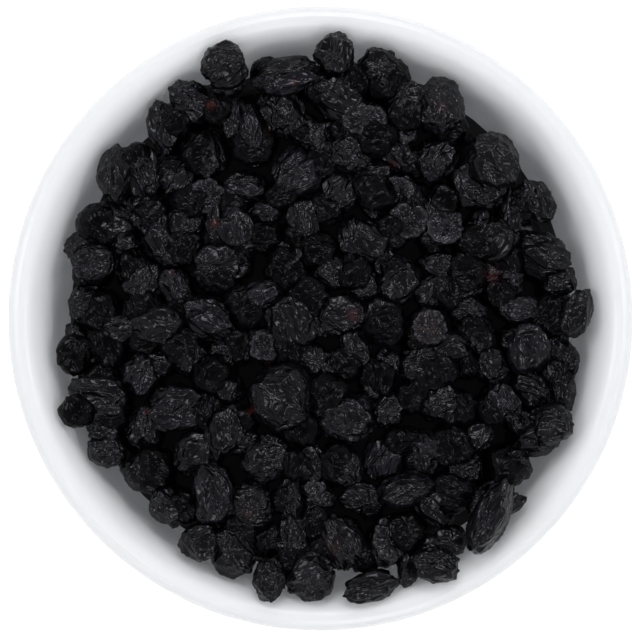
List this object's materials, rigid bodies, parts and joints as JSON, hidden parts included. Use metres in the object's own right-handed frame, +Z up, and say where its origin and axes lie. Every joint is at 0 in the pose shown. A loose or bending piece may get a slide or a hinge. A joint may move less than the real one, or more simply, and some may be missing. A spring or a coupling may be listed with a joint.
{
  "type": "bowl of dried blueberries",
  "caption": "Round white glazed porcelain bowl on a foot ring, with a flared round lip, heaped to the rim with dried blueberries",
  "frame": {"origin": "centre of the foot ring's underside, which stands on the table", "axes": "+Z is up, along the bowl's axis; +Y points to the top of the picture and +X to its right"},
  "size_m": [0.112, 0.112, 0.0562],
  "materials": {
    "porcelain": "glossy white glaze",
    "dried_berry": "wrinkled, waxy, near black"
  },
  "bodies": {
    "root": {"bowl": "porcelain", "dried_blueberries": "dried_berry"}
  },
  "joints": []
}
